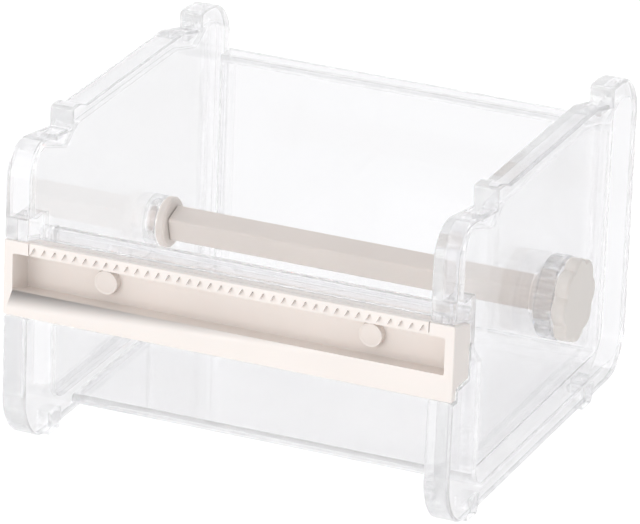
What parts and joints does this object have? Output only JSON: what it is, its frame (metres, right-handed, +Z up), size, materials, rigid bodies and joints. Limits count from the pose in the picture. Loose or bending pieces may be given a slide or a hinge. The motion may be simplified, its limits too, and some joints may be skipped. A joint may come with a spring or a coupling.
{
  "type": "tape dispenser",
  "caption": "Stackable clear desktop dispenser for wide craft tape: roll bar with scalloped knob pulls out sideways, serrated cutting edge on a front tray",
  "frame": {"origin": "bottom centre of the whole object, on the surface the feet stand on", "axes": "+X along the roll bar towards the knob, +Y to the back, +Z up"},
  "size_m": [0.151, 0.148, 0.104],
  "materials": {
    "clear_plastic": "clear polished polystyrene",
    "foot_plastic": "clear soft plastic, slightly frosted",
    "beige_plastic": "satin moulded beige",
    "warm_grey_plastic": "satin moulded warm grey"
  },
  "bodies": {
    "housing": {"left_side_panel": "clear_plastic", "right_side_panel": "clear_plastic", "back_panel": "clear_plastic", "base_panel": "clear_plastic", "front_crossbar": "clear_plastic", "foot_front_left": "foot_plastic", "foot_front_right": "foot_plastic", "foot_rear_left": "foot_plastic", "foot_rear_right": "foot_plastic", "cutter_tray": "beige_plastic", "cutter_blade": "beige_plastic"},
    "bearing": {"bearing_ring": "clear_plastic"},
    "roller": {"roll_bar": "beige_plastic", "bar_end_plug": "beige_plastic", "knob": "warm_grey_plastic"}
  },
  "joints": [
    {"name": "bar_pull", "type": "slide", "parent": "housing", "child": "bearing", "axis": [1, 0, 0], "range_m": [0, 0.135]},
    {"name": "bar_spin", "type": "hinge", "parent": "bearing", "child": "roller", "pos_m": [0, 0.017, 0.047], "axis": [1, 0, 0], "continuous": true}
  ]
}
